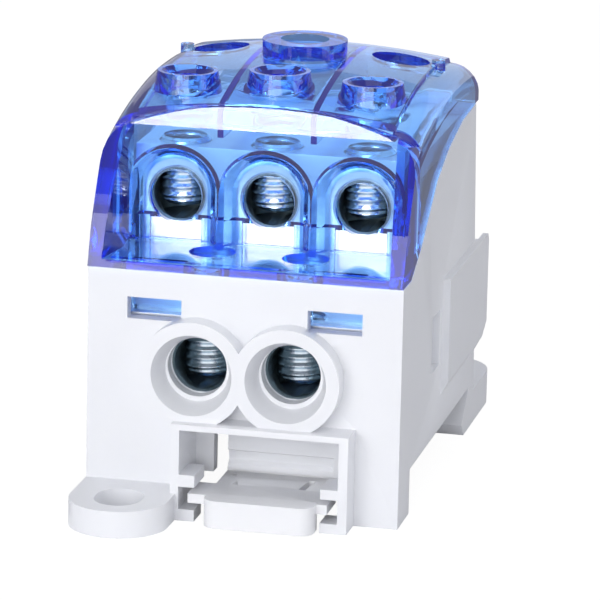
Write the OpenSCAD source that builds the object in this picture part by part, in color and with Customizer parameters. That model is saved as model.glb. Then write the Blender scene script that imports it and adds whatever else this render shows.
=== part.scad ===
// One-pole distribution block for a 35 mm rail or a panel, with a lift-off clear cover.
// X runs along the rail, Y runs from the front face to the rear, Z is up. Z = 0 is the mounting surface.

/* [Part to show] */
// Which piece is drawn

/* [Base body] */
// Width along the rail
body_w = 36.4; // [30:0.1:50]
// Wall of the moulding
wall = 1.8; // [1.2:0.1:2.6]
// Height of the front face, up to the cover
front_h = 27.9; // [24:0.1:34]
// Rise of the side walls from the front to the rear
side_rise = 12.9; // [10:0.1:18]
// Forward lean of the rear face
rear_lean = 3.8; // [0:0.1:6]
// Height of the floor that carries the terminal bar
floor_z = 11.8; // [11:0.1:14]

/* [Rail seat] */
// Front edge of the rail slot
rail_y = 6.4; // [5:0.1:9]
// Width of the rail slot at its top
rail_w = 35.8; // [30:0.1:44]
// Height of the rail slot
rail_z = 5.3; // [4:0.1:7]
// Reach of the fixed hook under the rail
hook_reach = 4.0; // [2:0.1:5]
// Thickness of the body behind the hook
hook_wall = 3.0; // [2:0.1:6]

/* [Joining tab] */
// How far the tab stands out of the right side
tab_t = 0.88; // [0.6:0.02:2]

/* [Panel feet] */
// Radius of the round end of a foot
foot_r = 5.7; // [5:0.1:8]
// Reach of the front foot's round end
front_reach = 6.7; // [5:0.1:10]
// Reach of the rear foot's round end
rear_reach = 9.2; // [5:0.1:12]
// Thickness of the front foot
front_foot_t = 3.1; // [2.5:0.1:5]
// Thickness of the rear foot
rear_foot_t = 4.2; // [2.5:0.1:5]
// Width of the screw slot
slot_w = 5.4; // [4.2:0.1:6.5]
// Length of the screw slot
slot_l = 6.6; // [5:0.1:9]

/* [Terminals] */
// Metal beside the outer wire holes, from their axis
side_metal = 4.92; // [4:0.01:7]
// Bore of the upper wire holes
upper_d = 6.0; // [4.5:0.1:6.6]
// Bore of the lower wire holes
lower_d = 6.4; // [5:0.1:7]
// Bore of the rear middle wire hole
rear_d = 8.6; // [6:0.1:8.8]
// Height of the lower wire holes over the floor
lower_rise = 5.2; // [4:0.1:7]
// Reach of the pad round the lower funnels
pad_h = 2.5; // [0.5:0.1:3.5]

/* [Terminal bar] */
// Gap between the bar and the walls at its sides
bar_gap = 0.6; // [0.3:0.05:1]
// Front face of the upper step
bar_y = 12.0; // [11:0.1:14]
// Gap between the lower step and the front wall
pocket_gap = 0.2; // [0.1:0.05:0.4]
// Depth of the lower step
step_d = 14.4; // [12:0.1:17]
// Metal above the upper wire holes, from their axis
top_metal = 5.8; // [4.5:0.1:8]
// Wall of the base behind the bar
back_wall = 2.8; // [2:0.1:5]

/* [Set screws] */
// Thread diameter of the front and outer rear screws
screw_d = 6.0; // [4:0.1:6.5]
// Thread diameter of the rear middle screw
big_screw_d = 8.0; // [6:0.1:8.5]
// Length of a set screw
screw_l = 8.0; // [6:0.1:10]
// Thread pitch
thread_p = 1.0; // [0.7:0.05:1.25]
// Running gap of a thread in the bar, on the radius
thread_gap = 0.05; // [0.02:0.01:0.1]
// Setback of the upper front screws behind the upper step's face
front_screw_in = 3.6; // [3.2:0.1:6]
// Setback of the lower screws behind the lower step's face
lower_screw_in = 4.6; // [3.4:0.1:6]

/* [Clear cover] */
// Wall of the cover
cover_t = 1.3; // [1:0.1:1.8]
// Rise of the crown over the side walls
crown_rise = 7.6; // [6:0.1:14]
// Radius of the crown from front to rear
crown_ry = 78; // [70:1:160]
// Radius of the crown from side to side
crown_rx = 90; // [60:1:140]
// Radius of the brow from side to side
brow_r = 46; // [35:1:80]
// Radius of the long side edges
edge_r = 3.2; // [1.5:0.1:4]
// Wall beside the recess at the arched wall
recess_side = 2.8; // [2.2:0.1:5]
// Widening of the recess towards the front, on each side
recess_flare = 1.2; // [0:0.1:1.6]
// Depth position of the arched wall in the recess
arch_y = 8.8; // [8:0.1:9.5]
// Height of the recess floor over the front face
rim_h = 1.0; // [0.8:0.1:2]
// Inner radius of a front collar
collar_ri = 2.2; // [1.8:0.1:2.8]
// Outer radius of a front collar
collar_ro = 3.8; // [3:0.1:4.4]
// Height of the front collars above the crown
collar_h = 1.4; // [0.5:0.1:2]
// Height of the rear boss above the crown
boss_h = 1.5; // [0.5:0.1:3]
// Radius of the plain rear holes
rear_hole_r = 3.4; // [2.4:0.1:3.8]
// Outer radius of the rear boss
boss_ro = 5.0; // [4:0.1:5.6]
// Inner radius of the rear boss
boss_ri = 2.85; // [2:0.1:3.6]
// Gap between the cover and the base
seam_gap = 0.1; // [0.05:0.01:0.3]

/* [Rail clip] */
// Middle of the clip across the rail direction
clip_x = 2.8; // [1:0.1:4]
// Width of the clip's front opening
clip_w = 18.4; // [15:0.1:21]
// Height of the clip's front opening
clip_h = 10.6; // [9:0.1:11]
// Reach of the frame in front of the body
frame_y = 3.7; // [3:0.1:5]
// Thickness of the clip plate
plate_t = 1.1; // [0.8:0.1:1.4]
// Height of the underside of the clip plate
plate_z = 2.25; // [1.8:0.05:2.6]
// Reach of the finger grip in front of the body
grip_y = 6.2; // [5:0.1:8]

/* [Hidden] */
$fn = 48;
e = 0.01;
hw = body_w / 2;
// Depths that follow the rail slot
body_d = rail_y + rail_w + hook_wall;
body_top_d = body_d - rear_lean;
bar_rear = body_top_d - back_wall;
rear_screw_y = body_top_d * 0.761;
rear_mid_y = body_top_d * 0.686;
crown_y = body_top_d * 0.70;
// Heights that follow the front face
side_h = front_h + side_rise;
crown_z = side_h + crown_rise;
upper_z = front_h + 6.2;
upper_under_z = front_h - 0.9;
step_z = front_h - 5.5;
window_z = front_h - 5.7;
bar_top = upper_z + top_metal;
recess_z = front_h + rim_h;
brow_z = bar_top + 3.3;
brow_top = crown_z - 2.55;
lower_z = floor_z + lower_rise;
// Widths that follow the body
bar_w = body_w - 2 * (wall + bar_gap);
bar_hw = bar_w / 2;
pitch = bar_hw - side_metal;
recess_hw = hw - recess_side;
latch_w = 6.3;
latch_x = hw - 7.75;
foot_cx = hw - foot_r;
clip_x0 = clip_x - clip_w / 2;
clip_x1 = clip_x + clip_w / 2;
step_y = wall + 2 * pocket_gap;
front_screw_y = bar_y + front_screw_in;
lower_screw_y = step_y + lower_screw_in;
upper_screw_z = upper_z - 1.6;
lower_screw_z = lower_z - 2.2;
rear_screw_z = upper_z - 2.2;
window_h = 2.5;
// The frame's origin is under the middle of the whole part
origin = [-tab_t / 2, -(body_d + rear_reach - front_reach) / 2, 0];

// Height of the crown over a point of the plan
function crown(x, y) = crown_z - pow(y - crown_y, 2) / (2 * crown_ry) - x * x / (2 * crown_rx);

// Seam between base and cover, seen from the side: front to rear
seam = [[0, front_h], [4.2, front_h], [9.4, front_h + 2.5], [14, front_h + 5.6], [18.2, side_h - 4.4], [24.8, side_h - 2.0], [33, side_h - 0.4], [body_top_d, side_h]];

// A prism along X from a side outline of [y, z] points
module side_prism(pts, w, x = 0) {
  translate([x - w / 2, 0, 0]) rotate([90, 0, 90]) linear_extrude(w) polygon(pts);
}

// A round bar along Y
module bar_y_round(x, z, r1, r2, y0, y1) {
  translate([x, y0, z]) rotate([-90, 0, 0]) cylinder(h = y1 - y0, r1 = r1, r2 = r2);
}

// A box between two corners
module span_box(a, b) {
  translate(a) cube(b - a);
}

// Plan of a panel foot with its round end, y pointing away from the body
module foot_plan(reach) {
  translate([0, reach]) circle(r = foot_r, $fn = 64);
  translate([-foot_r, -2]) square([2 * foot_r, reach + 2]);
}

module foot_slot(reach, h) {
  d = (slot_l - slot_w) / 2;
  for (s = [-1, 1]) translate([0, reach + s * d, -1]) cylinder(h = h + 2, d = slot_w);
  translate([-slot_w / 2, reach - d, -1]) cube([slot_w, 2 * d, h + 2]);
}

module foot(reach, t) {
  difference() {
    linear_extrude(t) foot_plan(reach);
    foot_slot(reach, t);
  }
}

// Solid outline of the base between its side faces
module base_outline() {
  side_prism(concat([[0, 0]], seam, [[body_d, 8.4], [body_d, 0]]), body_w);
}

// Raised figure-of-eight pad round the lower wire funnels
module funnel_pad() {
  intersection() {
    union() for (s = [-0.5, 0.5])
      bar_y_round(s * pitch, lower_z - 0.3, 6.2, 6.2, -pad_h, e);
    span_box([-hw, -pad_h - 1, clip_h], [hw, 1, front_h]);
  }
}

// Frame in front of the body that guides the rail clip
module clip_frame() {
  difference() {
    span_box([clip_x0 - 1, -frame_y, 0], [clip_x1 + 1.1, e, clip_h + 0.7]);
    span_box([clip_x0, -frame_y - 1, -1], [clip_x1, 1, clip_h]);
  }
}

// Ledges and blocks that hold the clip's ears from above and below
module clip_guides() {
  span_box([clip_x0 - e, -frame_y, 4.0], [clip_x0 + 1.85, 1.0, 5.4]);
  span_box([clip_x0 - e, -frame_y, 0], [clip_x0 + 1.85, -0.3, 1.35]);
  span_box([clip_x1 - 2.0, -frame_y, 3.95], [clip_x1 + e, 1.0, 5.1]);
  span_box([clip_x1 - 2.0, -frame_y, 0], [clip_x1 + e, -0.3, 1.15]);
}

// Ribbed panel behind the clip opening, with a post on its left beyond a narrow slit
module clip_panel() {
  x0 = clip_x0 + 3.75;
  side_prism([[rail_y - 1.8, 4.1], [rail_y - 1.8, 4.7], [rail_y - 1.2, 5.1], [rail_y - 1.5, 6.2], [rail_y - 1.9, 6.4], [rail_y - 1.9, clip_h + 0.4], [rail_y, clip_h + 0.4], [rail_y, 4.1]], clip_x1 + e - x0, (clip_x1 + e + x0) / 2);
  span_box([clip_x1 - 2.2, rail_y - 2.3, 3.95], [clip_x1 + e, rail_y, clip_h + 1]);
  span_box([clip_x0 - e, rail_y - 1.9, 3.6], [clip_x0 + 2.1, rail_y - 0.1, clip_h + 1]);
}

// Plate that joins the block to its neighbour, on the right side at the rear; its foot runs out into the side
module side_tab() {
  y0 = rail_y + 17.3;
  y1 = body_d + 3.0;
  z0 = floor_z + 0.7;
  z1 = step_z + 1.0;
  difference() {
    rotate([90, 0, 90]) translate([0, 0, hw - 0.6]) linear_extrude(0.6 + tab_t)
      polygon([[y0, z0 - 3.2], [y0, z1], [y1 - 0.6, z1], [y1, z1 - 0.8], [y1, z0 - 0.2], [body_d - 0.5, z0 - 1.9], [body_d - 0.5, z0 - 3.2]]);
    span_box([hw - 2, body_d - 0.8, -1], [hw + 0.2, body_d + 20, side_h]);
    translate([0, y0 - 1, 0]) rotate([-90, 0, 0]) linear_extrude(rail_w) polygon([[hw, -(z0 - 3.2)], [hw + tab_t + 1, -(z0 + 0.44)], [hw + tab_t + 1, 0], [hw, 0]]);
  }
}

// Matching pocket on the left side
module side_socket() {
  rotate([90, 0, 90]) translate([0, 0, -hw - 1]) linear_extrude(1 + tab_t + 0.12)
    polygon([[rail_y + 17.0, floor_z - 2.8], [rail_y + 17.0, step_z + 1.3], [body_d + 9, step_z + 1.3], [body_d + 9, floor_z - 2.8]]);
}

module base_cavity() {
  // pocket of the terminal bar, open at the top
  g = pocket_gap;
  side_prism([[step_y - g, floor_z], [step_y - g, 60], [bar_rear + g, 60], [bar_rear + g, upper_under_z], [step_y + step_d + g, upper_under_z], [step_y + step_d + g, floor_z]], bar_w + 2 * g);
  // room for the cover's recess floor and its skirt
  side_prism([[wall - 0.3, front_h - 1.7], [wall - 0.3, 60], [bar_rear + g, 60], [bar_rear + g, front_h - 1.7]], body_w - 2 * wall);
  // hollow underneath
  y1 = bar_rear - 1.6;
  y0 = step_y + step_d + 2.4;
  span_box([-hw + 2 * wall, y0, -1], [hw - wall - 0.6, y1, upper_under_z - 2.2]);
  span_box([-hw + 2 * wall, rail_y + 1.5, -1], [hw - wall - 0.6, y0 + 1, floor_z - 1.4]);
}

module rail_slot() {
  y1 = rail_y + rail_w;
  side_prism([[rail_y, -1], [rail_y, rail_z], [y1, rail_z], [y1 - hook_reach, 1.6], [y1 - hook_reach + 1.5, 0], [y1 - hook_reach + 1.5, -1]], body_w + 2);
}

module wire_funnels() {
  for (s = [-0.5, 0.5]) {
    bar_y_round(s * pitch, lower_z - 0.3, lower_d / 2 + 1.5, lower_d / 2 + 0.5, -pad_h - e, 0.4);
    bar_y_round(s * pitch, lower_z, lower_d / 2 + 0.25, lower_d / 2 + 0.25, 0.4 - e, step_y);
  }
  for (s = [-1, 1]) bar_y_round(s * pitch, upper_z, upper_d / 2 + 0.4, upper_d / 2 + 1.8, bar_rear - 1, body_d);
  bar_y_round(0, upper_z, rear_d / 2 + 0.5, rear_d / 2 + 1.6, bar_rear - 1, body_d);
}

module latch_openings() {
  for (s = [-1, 1]) {
    // window in the front face
    translate([s * latch_x - latch_w / 2, -1, window_z]) cube([latch_w, 3, window_h]);
    // slot for the cover's tongue
    translate([s * latch_x - latch_w / 2 - 0.2, wall - 0.1, window_z - 0.9]) cube([latch_w + 0.4, 1.9, 20]);
  }
}

module base_body() {
  translate(origin) color([0.93, 0.94, 0.95])
    difference() {
      union() {
        difference() {
          union() {
            base_outline();
            clip_frame();
            translate([-foot_cx, 0, 0]) mirror([0, 1, 0]) foot(front_reach, front_foot_t);
            translate([foot_cx, body_d, 0]) foot(rear_reach, rear_foot_t);
          }
          base_cavity();
          rail_slot();
          span_box([clip_x0, -frame_y - 1, -1], [clip_x1, rail_y + 2, clip_h]);
        }
        funnel_pad();
        clip_guides();
        clip_panel();
        side_tab();
      }
      wire_funnels();
      latch_openings();
      side_socket();
      // groove in front of the tab
      span_box([hw - 1, rail_y + 11.2, floor_z + 1.7], [hw + 1, rail_y + 15.9, floor_z + 8.4]);
    }
}

// Outer or inner skin of the cover: inset moves every face inwards
module cover_skin(inset) {
  w = hw - inset;
  rr = crown_ry - inset;
  side_drop = w * w / (2 * crown_rx);
  er = edge_r - inset * 0.6;
  intersection() {
    // crown: an arc across the block, swept round a long axis below it
    translate([0, crown_y, crown_z - crown_ry]) rotate([0, 90, 0]) rotate([0, 0, 90])
      rotate_extrude($fn = 360)
        polygon(concat([[rr - 60, -w]],
          [for (k = [0:6]) let(a = 90 - k * 15) [rr - side_drop - er + er * cos(a), -w + er - er * sin(a)]],
          [for (k = [-6:6]) let(x = k * (w - er) / 6) [rr - x * x / (2 * crown_rx), x]],
          [for (k = [0:6]) let(a = k * 15) [rr - side_drop - er + er * cos(a), w - er + er * sin(a)]],
          [[rr - 60, w]]));
    // brow: the front strip is arched more than the crown behind it
    union() {
      span_box([-hw - 1, arch_y + 0.3 + inset, -20], [hw + 1, body_d + 10, 90]);
      bar_y_round(0, brow_top - brow_r, brow_r - inset, brow_r - inset, -5, arch_y + 0.4 + inset);
    }
    // slope at the front and drop at the rear
    side_prism([
      [-0.5 + inset, front_h - 18], [-0.5 + inset, front_h], [0.9 + inset, front_h + 4.7], [3.4 + inset, front_h + 9.3], [5.9 + inset, front_h + 13.5], [6.75 + inset, brow_z], [arch_y + inset, brow_z + 3.0], [arch_y + inset, 90],
      [body_top_d - 5, 90], [body_top_d - 3.2 - inset * 0.4, crown_z - 0.4], [body_top_d - inset, crown_z - 3.2], [body_top_d + 1.4 - inset, crown_z - 6], [body_top_d + 1.4 - inset, front_h - 18]], body_w + 2);
  }
}

// Space in front of the arched wall, from the recess floor to the brow, wider at the front
module recess(grow) {
  w = recess_hw + grow;
  translate([0, 0, recess_z - grow]) linear_extrude(brow_z - recess_z + 2 * grow)
    polygon([[-w - recess_flare - 0.7, -5], [w + recess_flare + 0.7, -5], [w + recess_flare, 0], [w, arch_y + grow], [-w, arch_y + grow], [-w - recess_flare, 0]]);
}

// One flared niche round an upper wire hole
module niche(grow) {
  r0 = upper_d / 2 + 2.6 + grow;
  r1 = upper_d / 2 + 0.75 + grow;
  y0 = arch_y - 0.3;
  y1 = bar_y - 1.1 + grow * 0.7;
  z0 = recess_z - grow;
  zc = upper_z + 0.7;
  bar_y_round(0, zc, r0, r1, y0, y1);
  translate([0, 0, z0]) linear_extrude(zc - z0)
    polygon([[-r0, y0], [r0, y0], [r1, y1], [-r1, y1]]);
}

module cover_collars() {
  for (s = [-1, 0, 1]) translate([s * pitch, front_screw_y, 0]) {
    z = crown(s * pitch, front_screw_y) + collar_h;
    translate([0, 0, z - 3.2]) cylinder(h = 3.2, r1 = collar_ro + 0.3, r2 = collar_ro - 0.3);
  }
  translate([0, rear_mid_y, crown(0, rear_mid_y) - 2]) cylinder(h = 2 + boss_h, r = boss_ro);
  for (s = [-1, 1]) translate([s * (hw - 3), rear_screw_y + 1, crown(hw - 3, rear_screw_y) - 1]) cylinder(h = 1.5, r = 0.8, $fn = 24);
}

module cover_holes() {
  z0 = bar_top + 0.4;
  for (s = [-1, 0, 1]) translate([s * pitch, front_screw_y, z0]) cylinder(h = 20, r = collar_ri);
  for (s = [-1, 0, 1]) translate([s * pitch, front_screw_y, crown(s * pitch, front_screw_y) + collar_h - 0.9]) cylinder(h = 1, r1 = collar_ri, r2 = collar_ri + 0.9);
  for (s = [-1, 1]) translate([s * pitch, rear_screw_y, z0]) cylinder(h = 20, r = rear_hole_r);
  translate([0, rear_mid_y, z0]) cylinder(h = 20, r = boss_ri);
  // wire holes and driver holes of the recess
  for (s = [-1, 0, 1]) bar_y_round(s * pitch, upper_z, upper_d / 2 + 0.05, upper_d / 2 + 0.05, 5, bar_y + 2);
  for (s = [-0.5, 0.5]) translate([s * pitch, lower_screw_y, recess_z - 4]) cylinder(h = 5, r = 2.7);
}

module cover_tongues() {
  for (s = [-1, 1])
    side_prism([[wall + 0.1, front_h + 1.5], [wall + 0.1, step_z + bar_gap / 2 + 0.9], [wall + 0.6, step_z + bar_gap / 2], [wall + 1.1, step_z + bar_gap / 2], [wall + 1.1, front_h + 1.5]], latch_w - 0.1, s * latch_x);
}

module cover_ribs() {
  intersection() {
    cover_skin(cover_t * 0.5);
    for (s = [-1, 1]) span_box([s * pitch / 2 - 0.35, arch_y + 0.5, brow_z - 1.6], [s * pitch / 2 + 0.35, bar_rear - 1.6, 60]);
  }
}

module clear_cover() {
  g = cover_t;
  translate(origin) color([0.16, 0.3, 0.85, 0.55])
    difference() {
      union() {
        difference() {
          cover_skin(0);
          difference() {
            translate([0, 0, -e]) cover_skin(g);
            recess(g);
            for (s = [-1, 0, 1]) translate([s * pitch, 0, 0]) niche(g * 0.8);
          }
          // underside follows the seam
          side_prism(concat([[-3, 0], [-3, front_h + seam_gap]], [for (p = seam) p + [0, seam_gap]], [[60, side_h + seam_gap], [60, 0]]), body_w + 4);
        }
        cover_floor();
        cover_collars();
        cover_ribs();
        cover_tongues();
      }
      recess(0);
      for (s = [-1, 0, 1]) translate([s * pitch, 0, 0]) niche(0);
      cover_holes();
    }
}

// Floor of the recess, which drops inside the base's front wall
module cover_floor() {
  y0 = wall + 0.2;
  y1 = bar_y - 0.3;
  side_prism([[-0.3, front_h + seam_gap], [-0.3, recess_z + e], [y1, recess_z + e], [y1, recess_z - cover_t], [y0, recess_z - cover_t], [y0, front_h + seam_gap]], 2 * recess_hw + 1.4);
}

// Wire bore with a chamfered mouth, pointing to -Y from face y0, or to +Y with s = -1
module wire_bore(x, z, d, y0, depth, s = 1) {
  translate([x, y0, z]) rotate([-90 * s, 0, 0]) {
    translate([0, 0, -1]) cylinder(h = depth + 1, d = d);
    translate([0, 0, -e]) cylinder(h = 0.5, d1 = d + 1, d2 = d);
  }
}

// Tapped hole for a set screw, down to just above the bottom of its wire bore
module tapped_hole(x, y, bore_z, bore_d, d) {
  z0 = bore_z - bore_d / 2 + 0.05;
  translate([x, y, z0]) cylinder(h = 50 - z0, d = d + 2 * thread_gap);
}

module terminal_bar() {
  translate(origin) color([0.80, 0.82, 0.85])
    difference() {
      side_prism([[step_y, floor_z], [step_y, step_z], [bar_y, upper_under_z], [bar_y, bar_top], [bar_rear, bar_top], [bar_rear, upper_under_z], [step_y + step_d, upper_under_z], [step_y + step_d, floor_z]], bar_w);
      // flat of the lower step, in front of the riser
      span_box([-hw, step_y - 1, step_z], [hw, bar_y + 1.4, upper_under_z + e]);
      span_box([-hw, step_y - 1, step_z], [hw, bar_y, bar_top + 1]);
      for (s = [-1, 0, 1]) {
        wire_bore(s * pitch, upper_z, upper_d, bar_y, front_screw_in + 4.4);
        tapped_hole(s * pitch, front_screw_y, upper_z, upper_d, screw_d);
      }
      for (s = [-0.5, 0.5]) {
        wire_bore(s * pitch, lower_z, lower_d, step_y, lower_screw_in + 4.4);
        tapped_hole(s * pitch, lower_screw_y, lower_z, lower_d, screw_d);
      }
      for (s = [-1, 1]) {
        wire_bore(s * pitch, upper_z, upper_d, bar_rear, bar_rear - rear_screw_y + 4.1, -1);
        tapped_hole(s * pitch, rear_screw_y, upper_z, upper_d, screw_d);
      }
      wire_bore(0, upper_z, rear_d, bar_rear, bar_rear - rear_mid_y + 4.9, -1);
      tapped_hole(0, rear_mid_y, upper_z, rear_d, big_screw_d);
    }
}

// Set screw with a hexagon socket, a flat ground point and thread roots as rings
module set_screw(x, y, z, d, af) {
  r = d / 2;
  n = floor((screw_l - 1.6) / thread_p);
  translate(origin) color([0.74, 0.79, 0.84])
    translate([x, y, z]) difference() {
      union() {
        cylinder(h = 0.7, r1 = r - 0.75, r2 = r - 0.05);
        translate([0, 0, 0.7]) cylinder(h = screw_l - 1.2, r = r);
        translate([0, 0, screw_l - 0.5 - e]) cylinder(h = 0.5 + e, r1 = r, r2 = r - 0.5);
      }
      for (k = [0:n - 1]) translate([0, 0, 1.1 + k * thread_p])
        rotate_extrude($fn = 48) polygon([[r - 0.5, 0.3], [r + 0.1, -0.02], [r + 0.1, 0.62]]);
      translate([0, 0, screw_l - 3.4]) cylinder(h = 4, r = af / sqrt(3), $fn = 6);
    }
}

module front_screw_left() set_screw(-pitch, front_screw_y, upper_screw_z, screw_d, 3);
module front_screw_middle() set_screw(0, front_screw_y, upper_screw_z, screw_d, 3);
module front_screw_right() set_screw(pitch, front_screw_y, upper_screw_z, screw_d, 3);
module lower_screw_left() set_screw(-pitch / 2, lower_screw_y, lower_screw_z, screw_d, 3);
module lower_screw_right() set_screw(pitch / 2, lower_screw_y, lower_screw_z, screw_d, 3);
module rear_screw_left() set_screw(-pitch, rear_screw_y, rear_screw_z, screw_d, 3);
module rear_screw_middle() set_screw(0, rear_mid_y, rear_screw_z, big_screw_d, 4);
module rear_screw_right() set_screw(pitch, rear_screw_y, rear_screw_z, screw_d, 3);

// Plan of the finger grip, rounded at its two front corners
module grip_plan() {
  gx0 = clip_x0 + 3.3;
  gx1 = clip_x1 - 2.4;
  r = 1.6;
  for (x = [gx0 + r, gx1 - r]) translate([x, -grip_y + r]) circle(r = r, $fn = 32);
  translate([gx0 + r, -grip_y]) square([gx1 - gx0 - 2 * r, 3]);
  translate([gx0, -grip_y + r]) square([gx1 - gx0, 3 - r]);
}

module rail_clip() {
  gx0 = clip_x0 + 3.3;
  gx1 = clip_x1 - 2.4;
  pz = plate_z;
  translate(origin) color([0.95, 0.95, 0.96])
    difference() {
      union() {
        translate([0, 0, 0.2]) linear_extrude(3.2) grip_plan();
        // plate that runs back under the rail
        span_box([gx0, -grip_y + 3 - e, pz], [gx1, rail_y + 1.8, pz + plate_t]);
        // ears in the frame's grooves
        span_box([clip_x0 + 1.15, -frame_y - 0.2, pz], [clip_x1 - 1.15, 0.9, pz + plate_t]);
        // tooth that locks under the rail
        side_prism([[rail_y - 0.1, pz + plate_t - e], [rail_y - 0.1, pz + plate_t + 0.45], [rail_y + 0.6, pz + plate_t + 0.45], [rail_y + 1.8, pz + plate_t - e]], gx1 - gx0, (gx0 + gx1) / 2);
      }
      // skewed cut-outs in the plate
      translate([gx0 + 1.6, 1.0, pz - 1]) linear_extrude(4) polygon([[0, 0], [0.9, 0], [0.5, 1.5]]);
      translate([gx0 + 0.8, 4.6, pz - 1]) linear_extrude(4) polygon([[0, 0], [0.8, 0], [0.5, 0.9]]);
      translate([gx1 - 3.2, 1.2, pz - 1]) linear_extrude(4) polygon([[0, 0], [0.8, 0], [1.2, 3.6], [0.5, 3.6]]);
    }
}

base_body();
terminal_bar();
clear_cover();
rail_clip();
front_screw_left();
front_screw_middle();
front_screw_right();
lower_screw_left();
lower_screw_right();
rear_screw_left();
rear_screw_middle();
rear_screw_right();
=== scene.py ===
"""Distribution block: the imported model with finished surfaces, real screw threads and studio light. Metres."""

import math

import bmesh
import bpy
from mathutils import Matrix, Vector


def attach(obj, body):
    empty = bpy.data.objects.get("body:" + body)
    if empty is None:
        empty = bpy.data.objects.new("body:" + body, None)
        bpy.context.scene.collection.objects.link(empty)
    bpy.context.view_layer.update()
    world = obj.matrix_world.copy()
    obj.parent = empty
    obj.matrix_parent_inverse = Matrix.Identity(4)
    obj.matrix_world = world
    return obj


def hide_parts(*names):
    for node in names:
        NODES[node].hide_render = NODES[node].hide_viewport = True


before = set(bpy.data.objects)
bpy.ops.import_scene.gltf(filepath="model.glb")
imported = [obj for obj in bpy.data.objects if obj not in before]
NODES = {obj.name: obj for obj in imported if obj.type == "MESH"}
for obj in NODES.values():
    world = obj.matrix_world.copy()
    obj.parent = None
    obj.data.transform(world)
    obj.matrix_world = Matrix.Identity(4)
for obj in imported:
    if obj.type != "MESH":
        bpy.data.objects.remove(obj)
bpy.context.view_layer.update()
MM = 0.001
# The CAD frame's origin, seen from the middle of the body's front edge
SHIFT = Vector((-0.44, -23.85, 0.0))


def at(x, y, z):
    """A point of the block, in mm from the middle of its front edge, in metres of the frame."""
    return (Vector((x, y, z)) + SHIFT) * MM


def rgb(text, alpha=1.0):
    """An sRGB hex colour as linear values."""
    parts = [int(text[i:i + 2], 16) / 255 for i in (1, 3, 5)]
    return tuple(c / 12.92 if c <= 0.04045 else ((c + 0.055) / 1.055) ** 2.4 for c in parts) + (alpha,)


def add(material, kind, settings=None, **links):
    """Adds one node; a link is a socket name with spaces as underscores, and a value or another node's output."""
    node = material.node_tree.nodes.new(kind)
    for name, value in (settings or {}).items():
        setattr(node, name, value)
    for name, value in links.items():
        socket = node.inputs[int(name[1:])] if name[0] == "i" and name[1:].isdigit() else node.inputs[name.replace("_", " ")]
        if isinstance(value, bpy.types.NodeSocket):
            material.node_tree.links.new(value, socket)
        else:
            socket.default_value = value
    return node


def blank(name):
    material = bpy.data.materials.new(name)
    material.use_nodes = True
    material.node_tree.nodes.clear()
    return material


# Camera: fitted to the straight edges of the photograph
AZ, EL, ROLL, DIST = math.radians(12.69), math.radians(13.5), math.radians(1.24), 0.52514
back = Vector((math.sin(AZ) * math.cos(EL), -math.cos(AZ) * math.cos(EL), math.sin(EL)))
right = Vector((math.cos(AZ), math.sin(AZ), 0.0))
up = back.cross(right)
side = math.cos(ROLL) * right + math.sin(ROLL) * up
top = math.cos(ROLL) * up - math.sin(ROLL) * right
lens = bpy.data.cameras.new("camera")
lens.sensor_width = 36.0
lens.lens = 4500 / 600 * 36.0
lens.shift_x = 10.65 / 600
lens.shift_y = -83.88 / 600
lens.clip_start = 0.01
camera = bpy.data.objects.new("camera", lens)
pose = Matrix((side, top, back)).transposed().to_4x4()
pose.translation = at(0, 22, 30) + back * DIST
camera.matrix_world = pose
bpy.context.collection.objects.link(camera)
bpy.context.scene.camera = camera
bpy.context.scene.view_settings.view_transform = "Standard"


# Injection-moulded polyamide, off-white: a fine spark-eroded grain, soft gloss and a little light under the skin
def moulded_polyamide(name, colour, shade):
    m = blank(name)
    where = add(m, "ShaderNodeTexCoord").outputs["Object"]
    # grain of the mould, about 0.12 mm
    grain = add(m, "ShaderNodeTexNoise", {}, Vector=where, Scale=8500.0, Detail=2.0).outputs["Fac"]
    # slow flow marks, about 12 mm
    flow = add(m, "ShaderNodeTexNoise", {}, Vector=where, Scale=85.0, Detail=3.0, Distortion=0.4).outputs["Fac"]
    tone = add(m, "ShaderNodeMix", {"data_type": "RGBA"}, i0=flow, i6=rgb(colour), i7=rgb(shade)).outputs[2]
    gloss = add(m, "ShaderNodeMapRange", {}, Value=grain, To_Min=0.36, To_Max=0.48).outputs["Result"]
    bump = add(m, "ShaderNodeBump", {}, Strength=0.16, Distance=0.00004, Height=grain).outputs["Normal"]
    skin = add(m, "ShaderNodeBsdfPrincipled", {"subsurface_method": "RANDOM_WALK"}, Base_Color=tone,
               Roughness=gloss, IOR=1.53, Subsurface_Weight=0.12, Subsurface_Radius=(0.8, 0.8, 0.9),
               Subsurface_Scale=0.0009, Normal=bump)
    add(m, "ShaderNodeOutputMaterial", {}, Surface=skin.outputs[0])
    return m


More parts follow.
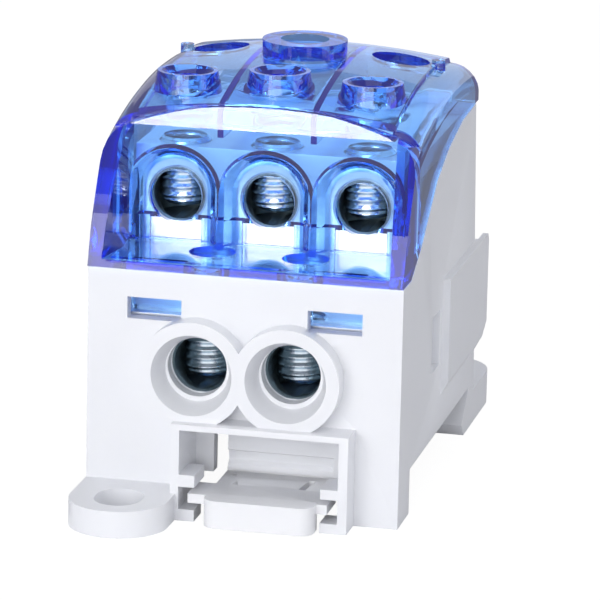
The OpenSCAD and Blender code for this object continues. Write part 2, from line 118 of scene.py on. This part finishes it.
# Polished clear polycarbonate, tinted cobalt: smooth faces let light through, and a painted violet glow inside the
# plastic turns long paths along the walls violet
def tinted_polycarbonate():
    m = blank("tinted_polycarbonate")
    where = add(m, "ShaderNodeTexCoord").outputs["Object"]
    # slight waves of a moulded face, about 6 mm
    wave = add(m, "ShaderNodeTexNoise", {}, Vector=where, Scale=160.0, Detail=1.0).outputs["Fac"]
    bump = add(m, "ShaderNodeBump", {}, Strength=0.04, Distance=0.0002, Height=wave).outputs["Normal"]
    clear = add(m, "ShaderNodeBsdfPrincipled", {}, Base_Color=(0.79, 0.93, 0.998, 1.0), Roughness=0.03, IOR=1.58,
                Transmission_Weight=1.0, Normal=bump)
    shadow = add(m, "ShaderNodeBsdfTransparent", {}, Color=rgb("#EAF4FF"))
    kind = add(m, "ShaderNodeLightPath")
    surface = add(m, "ShaderNodeMixShader", {}, Fac=kind.outputs["Is Shadow Ray"], i1=clear.outputs[0], i2=shadow.outputs[0])
    body = add(m, "ShaderNodeVolumeAbsorption", {}, Color=(0.04, 0.52, 0.95, 1.0), Density=430.0)
    # painted glow: the volume gives off violet light of its own, in place of the deep red that the dye lets through
    # thick plastic, which turns its edges violet
    painted_violet_glow = add(m, "ShaderNodeEmission", {}, Color=(0.45, 0.25, 1.0, 1.0), Strength=17.0)
    absorption_and_painted_glow = add(m, "ShaderNodeAddShader", {}, i0=body.outputs[0], i1=painted_violet_glow.outputs[0])
    add(m, "ShaderNodeOutputMaterial", {}, Surface=surface.outputs[0], Volume=absorption_and_painted_glow.outputs[0])
    return m


# Hot-tinned aluminium bar, sawn and milled: bright, with fine cutter lines across it
def tinned_bar():
    m = blank("tinned_aluminium")
    where = add(m, "ShaderNodeTexCoord").outputs["Object"]
    lines = add(m, "ShaderNodeMapping", {}, Vector=where, Scale=(220.0, 5200.0, 5200.0)).outputs[0]
    cutter = add(m, "ShaderNodeTexNoise", {}, Vector=lines, Scale=1.0, Detail=3.0).outputs["Fac"]
    cloud = add(m, "ShaderNodeTexNoise", {}, Vector=where, Scale=420.0, Detail=3.0).outputs["Fac"]
    tinned = add(m, "ShaderNodeMix", {"data_type": "RGBA"}, i0=cloud, i6=rgb("#F4F6F8"), i7=rgb("#E0E5EA")).outputs[2]
    # painted shade in the wire bores: at their heights and behind the two front faces the bar is coloured a darker
    # grey
    place = add(m, "ShaderNodeSeparateXYZ", {}, Vector=where)
    bores = []
    for height, reach, face in ((34.1, 3.2, 12.25), (17.0, 3.4, 2.45)):
        level = add(m, "ShaderNodeMath", {"operation": "COMPARE"}, i0=place.outputs["Z"], i1=height * MM, i2=reach * MM).outputs[0]
        behind = add(m, "ShaderNodeMath", {"operation": "GREATER_THAN"}, i0=place.outputs["Y"], i1=at(0, face, 0).y).outputs[0]
        bores.append(add(m, "ShaderNodeMath", {"operation": "MULTIPLY"}, i0=level, i1=behind).outputs[0])
    painted_bore_shade = add(m, "ShaderNodeMath", {"operation": "MAXIMUM"}, i0=bores[0], i1=bores[1]).outputs[0]
    tone = add(m, "ShaderNodeMix", {"data_type": "RGBA"}, i0=painted_bore_shade, i6=tinned, i7=rgb("#7F8F96")).outputs[2]
    bump = add(m, "ShaderNodeBump", {}, Strength=0.25, Distance=0.00003, Height=cutter).outputs["Normal"]
    gloss = add(m, "ShaderNodeMapRange", {}, Value=cutter, To_Min=0.28, To_Max=0.46).outputs["Result"]
    metal = add(m, "ShaderNodeBsdfPrincipled", {}, Base_Color=tone, Metallic=1.0, Roughness=gloss, Normal=bump)
    add(m, "ShaderNodeOutputMaterial", {}, Surface=metal.outputs[0])
    return m


# Zinc-plated steel with a clear blue passivation: bright and slightly cool
def zinc_plate():
    m = blank("zinc_plated_steel")
    where = add(m, "ShaderNodeTexCoord").outputs["Object"]
    spots = add(m, "ShaderNodeTexNoise", {}, Vector=where, Scale=1400.0, Detail=3.0).outputs["Fac"]
    tone = add(m, "ShaderNodeMix", {"data_type": "RGBA"}, i0=spots, i6=rgb("#DDE7EE"), i7=rgb("#BCC9D6")).outputs[2]
    bump = add(m, "ShaderNodeBump", {}, Strength=0.05, Distance=0.00002, Height=spots).outputs["Normal"]
    gloss = add(m, "ShaderNodeMapRange", {}, Value=spots, To_Min=0.16, To_Max=0.28).outputs["Result"]
    metal = add(m, "ShaderNodeBsdfPrincipled", {}, Base_Color=tone, Metallic=1.0, Roughness=gloss, Normal=bump)
    add(m, "ShaderNodeOutputMaterial", {}, Surface=metal.outputs[0])
    return m


BASE = moulded_polyamide("moulded_polyamide", "#EFF0F3", "#E9EAEE")
CLIP = moulded_polyamide("moulded_clip", "#F2F2F4", "#ECEDF0")
COVER = tinted_polycarbonate()
BAR = tinned_bar()
ZINC = zinc_plate()


def new_piece(name, bm, material, angle=35):
    """Makes an object from a bmesh, smooth but for edges sharper than the angle."""
    mesh = bpy.data.meshes.new(name)
    bm.to_mesh(mesh)
    bm.free()
    mesh.materials.append(material)
    for face in mesh.polygons:
        face.use_smooth = True
    mesh.set_sharp_from_angle(angle=math.radians(angle))
    piece = bpy.data.objects.new(name, mesh)
    bpy.context.collection.objects.link(piece)
    return piece


def soften(piece, radius, segments=2, angle=35):
    """Rounds the edges that are sharper than the angle."""
    soft = piece.modifiers.new("edges", "BEVEL")
    soft.width = radius
    soft.segments = segments
    soft.limit_method = "ANGLE"
    soft.angle_limit = math.radians(angle)
    soft.use_clamp_overlap = True
    soft.harden_normals = True
    soft.miter_outer = "MITER_ARC"


def prism(outline, low, high):
    """A closed upright solid over an outline in mm, between two heights."""
    bm = bmesh.new()
    face = bm.faces.new([bm.verts.new(at(x, y, low)) for x, y in outline])
    raised = bmesh.ops.extrude_face_region(bm, geom=[face])["geom"]
    bmesh.ops.translate(bm, vec=(0, 0, (high - low) * MM), verts=[v for v in raised if isinstance(v, bmesh.types.BMVert)])
    bmesh.ops.recalc_face_normals(bm, faces=bm.faces)
    return bm


def moulding(node, name, material, radius, body, segments=2):
    """A copy of a CAD node with its edges rounded as a mould leaves them."""
    bm = bmesh.new()
    bm.from_mesh(NODES[node].data)
    bmesh.ops.remove_doubles(bm, verts=bm.verts, dist=1e-6)
    bmesh.ops.dissolve_limit(bm, angle_limit=math.radians(0.5), verts=bm.verts, edges=bm.edges)
    piece = new_piece(name, bm, material)
    if radius:
        soften(piece, radius, segments)
    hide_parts(node)
    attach(piece, body)
    return piece


def turned(points, steps=64):
    """A closed solid of revolution about Z from an outline of (radius, height)."""
    bm = bmesh.new()
    verts = [bm.verts.new((r, 0, z)) for r, z in points]
    edges = [bm.edges.new((a, b)) for a, b in zip(verts, verts[1:])]
    bmesh.ops.spin(bm, geom=verts + edges, cent=(0, 0, 0), axis=(0, 0, 1), angle=2 * math.pi, steps=steps, use_merge=True)
    bmesh.ops.remove_doubles(bm, verts=bm.verts, dist=1e-7)
    bmesh.ops.recalc_face_normals(bm, faces=bm.faces)
    return bm


def thread(radius, pitch, length, steps=48):
    """A closed screw thread from z = 0 to its length."""
    depth = 0.24 * pitch
    bm = bmesh.new()
    outline = [(radius - depth, 0.0), (radius - depth, 0.1 * pitch), (radius, 0.42 * pitch), (radius, 0.54 * pitch), (radius - depth, 0.88 * pitch), (radius - depth, pitch)]
    verts = [bm.verts.new((r, 0, z - pitch)) for r, z in outline]
    edges = [bm.edges.new((a, b)) for a, b in zip(verts, verts[1:])]
    turns = int(length / pitch) + 3
    bmesh.ops.spin(bm, geom=verts + edges, cent=(0, 0, 0), axis=(0, 0, 1), angle=2 * math.pi * turns, steps=steps * turns,
                   dvec=(0, 0, pitch / steps))
    bmesh.ops.remove_doubles(bm, verts=bm.verts, dist=1e-6)
    for z, way in ((0.0, -1), (length, 1)):
        cut = bmesh.ops.bisect_plane(bm, geom=bm.verts[:] + bm.edges[:] + bm.faces[:], plane_co=(0, 0, z), plane_no=(0, 0, way), clear_outer=True)
        rim = [e for e in cut["geom_cut"] if isinstance(e, bmesh.types.BMEdge)]
        bmesh.ops.contextual_create(bm, geom=rim)
    bmesh.ops.recalc_face_normals(bm, faces=bm.faces)
    return bm


def combine(piece, other, operation):
    """Boolean of two pieces, kept as a plain mesh."""
    tool = piece.modifiers.new("cut", "BOOLEAN")
    tool.object = other
    tool.operation = operation
    tool.solver = "EXACT"
    made = bpy.data.meshes.new_from_object(piece.evaluated_get(bpy.context.evaluated_depsgraph_get()))
    piece.modifiers.clear()
    piece.data = made
    bpy.data.objects.remove(other)


def set_screw(name, x, y, z, d, flats):
    """A grub screw with a rolled thread, a hexagon socket and a flat point."""
    r, length = d / 2, 8.0
    screw = new_piece(name, thread(r * MM, 1.0 * MM, length * MM), ZINC)
    shape = turned([(0, 0), (r - 0.9, 0), (r - 0.7, 0.08), (r, 0.75), (r + 0.01, length - 0.5), (r - 0.5, length), (0, length)])
    bmesh.ops.scale(shape, vec=(MM, MM, MM), verts=shape.verts)
    combine(screw, new_piece("envelope", shape, ZINC), "INTERSECT")
    key = bmesh.new()
    bmesh.ops.create_cone(key, cap_ends=True, segments=6, radius1=flats / math.sqrt(3), radius2=flats / math.sqrt(3), depth=6.0)
    bmesh.ops.translate(key, vec=(0, 0, length), verts=key.verts)
    bmesh.ops.scale(key, vec=(MM, MM, MM), verts=key.verts)
    combine(screw, new_piece("key", key, ZINC), "DIFFERENCE")
    screw.data.transform(Matrix.Translation(at(x, y, z)))
    for face in screw.data.polygons:
        face.use_smooth = True
    screw.data.set_sharp_from_angle(angle=math.radians(32))
    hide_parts(name.replace("_threaded", ""))
    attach(screw, name.replace("_threaded", ""))


PITCH = 10.88
for name, x in (("left", -PITCH), ("middle", 0.0), ("right", PITCH)):
    set_screw("front_screw_%s_threaded" % name, x, 15.6, 32.5, 6.0, 3.0)
for name, x in (("left", -PITCH / 2), ("right", PITCH / 2)):
    set_screw("lower_screw_%s_threaded" % name, x, 6.8, 14.8, 6.0, 3.0)
for name, x in (("left", -PITCH), ("right", PITCH)):
    set_screw("rear_screw_%s_threaded" % name, x, 31.505, 31.9, 6.0, 3.0)
set_screw("rear_screw_middle_threaded", 0.0, 28.4, 31.9, 8.0, 4.0)

moulding("base_body", "base_moulding", BASE, 0.4 * MM, "base")
moulding("rail_clip", "clip_moulding", CLIP, 0.2 * MM, "clip")
moulding("terminal_bar", "bar_milled", BAR, 0.12 * MM, "base")
cover = moulding("clear_cover", "cover_moulding", COVER, 0.0, "cover")
# The walls between the wire slots go on down to the floor of the recess
half, deep, back = PITCH / 2, 10.905, 11.632
for x in (-half, half):
    fold = [(-2.39, deep), (-1.69, deep), (-0.24, 9.0), (0.0, 8.72), (0.24, 9.0), (1.69, deep), (2.39, deep),
            (2.39, back), (0.65, back), (0.0, 10.53), (-0.65, back), (-2.39, back)]
    combine(cover, new_piece("slot_wall", prism([(x + a, b) for a, b in fold], 28.5, 31.7), COVER), "UNION")
for way in (-1, 1):
    end = [(13.93, deep), (14.63, deep), (15.38, 9.93), (16.2, 9.93), (16.2, 10.74), (15.67, back), (13.93, back)]
    combine(cover, new_piece("slot_end", prism([(way * a, b) for a, b in end], 28.5, 31.7), COVER), "UNION")
for face in cover.data.polygons:
    face.use_smooth = True
cover.data.set_sharp_from_angle(angle=math.radians(20))
soften(cover, 0.3 * MM, 3, 30)
# large flat faces keep their own direction, so that the brow mirrors as one band
flat = cover.modifiers.new("flat", "WEIGHTED_NORMAL")
flat.keep_sharp = True
flat.weight = 90

# White paper: the camera and what it sees through the cover meet plain white, with the block's own soft shadow
def white_paper(name, mirrored):
    m = blank(name)
    path = add(m, "ShaderNodeLightPath")
    through = add(m, "ShaderNodeMath", {"operation": "MAXIMUM"}, i0=path.outputs["Is Camera Ray"], i1=path.outputs["Is Transmission Ray"]).outputs[0]
    seen = add(m, "ShaderNodeMath", {"operation": "MAXIMUM"}, i0=through, i1=path.outputs["Is Glossy Ray"]).outputs[0]
    sheet = add(m, "ShaderNodeBsdfDiffuse", {}, Color=rgb("#F4F4F6"))
    level = add(m, "ShaderNodeMath", {"operation": "MULTIPLY_ADD"}, i0=path.outputs["Is Glossy Ray"], i1=mirrored - 1.1, i2=1.1).outputs[0]
    glow = add(m, "ShaderNodeEmission", {}, Color=(1.0, 1.0, 1.0, 1.0), Strength=level)
    share = add(m, "ShaderNodeMath", {"operation": "MULTIPLY"}, i0=seen, i1=0.86).outputs[0]
    add(m, "ShaderNodeOutputMaterial", {}, Surface=add(m, "ShaderNodeMixShader", {}, Fac=share, i1=sheet.outputs[0], i2=glow.outputs[0]).outputs[0])
    return m


# The sheet in front is the bright one that the bar and the screws mirror
for name, low, high, mirrored in (("floor_front", (-2000, -2000), (2000, -30), 1.2), ("floor_rear", (-2000, -30), (2000, 2000), 0.3)):
    bm = bmesh.new()
    corners = ((low[0], low[1]), (high[0], low[1]), (high[0], high[1]), (low[0], high[1]))
    bm.faces.new([bm.verts.new((x * MM, y * MM, 0.0)) for x, y in corners])
    new_piece(name, bm, white_paper(name + "_paper", mirrored))

# White studio room, and soft boxes above, in front and on the left
world = bpy.data.worlds.new("studio")
world.use_nodes = True
world.node_tree.nodes.clear()
ray = add(world, "ShaderNodeLightPath")
dim = add(world, "ShaderNodeBackground", {}, Color=(0.9, 0.92, 1.0, 1.0), Strength=0.34)
white = add(world, "ShaderNodeBackground", {}, Color=(1.0, 1.0, 1.0, 1.0), Strength=1.0)
through = add(world, "ShaderNodeMath", {"operation": "MAXIMUM"}, i0=ray.outputs["Is Camera Ray"], i1=ray.outputs["Is Transmission Ray"]).outputs[0]
mirrored = add(world, "ShaderNodeMath", {"operation": "MULTIPLY"}, i0=ray.outputs["Is Glossy Ray"], i1=0.12).outputs[0]
plain = add(world, "ShaderNodeMath", {"operation": "MAXIMUM"}, i0=through, i1=mirrored).outputs[0]
add(world, "ShaderNodeOutputWorld", {}, Surface=add(world, "ShaderNodeMixShader", {}, Fac=plain, i1=dim.outputs[0], i2=white.outputs[0]).outputs[0])
bpy.context.scene.world = world


def soft_box(name, place, size, watts, aim=(0, 18, 24)):
    """A rectangular lamp that faces the block."""
    light = bpy.data.lights.new(name, "AREA")
    light.shape = "RECTANGLE"
    light.size, light.size_y = size
    light.energy = watts
    lamp = bpy.data.objects.new(name, light)
    spot, look = Vector(place) * MM + SHIFT * MM, at(*aim)
    turn = (look - spot).to_track_quat("-Z", "Y").to_matrix().to_4x4()
    lamp.matrix_world = Matrix.Translation(spot) @ turn
    bpy.context.collection.objects.link(lamp)
    return lamp


soft_box("front_box", (-60, -600, 150), (0.5, 0.4), 2.05)
soft_box("key_box", (-300, -480, 260), (0.35, 0.35), 0.6)
soft_box("side_box", (520, -60, 220), (0.4, 0.4), 0.62)
soft_box("top_box", (0, 60, 520), (0.5, 0.5), 0.6)
# a long strip that only glossy faces show, as the band along the brow
strip = soft_box("strip_box", (-140, -372, 638), (0.3, 0.14), 2.0, (0, 8, 44.5))
strip.visible_diffuse = False
# a card behind the block, which the crown mirrors
card = soft_box("rear_card", (130, 700, 200), (1.2, 0.34), 0.5, (0, 34, 48))
card.visible_diffuse = False
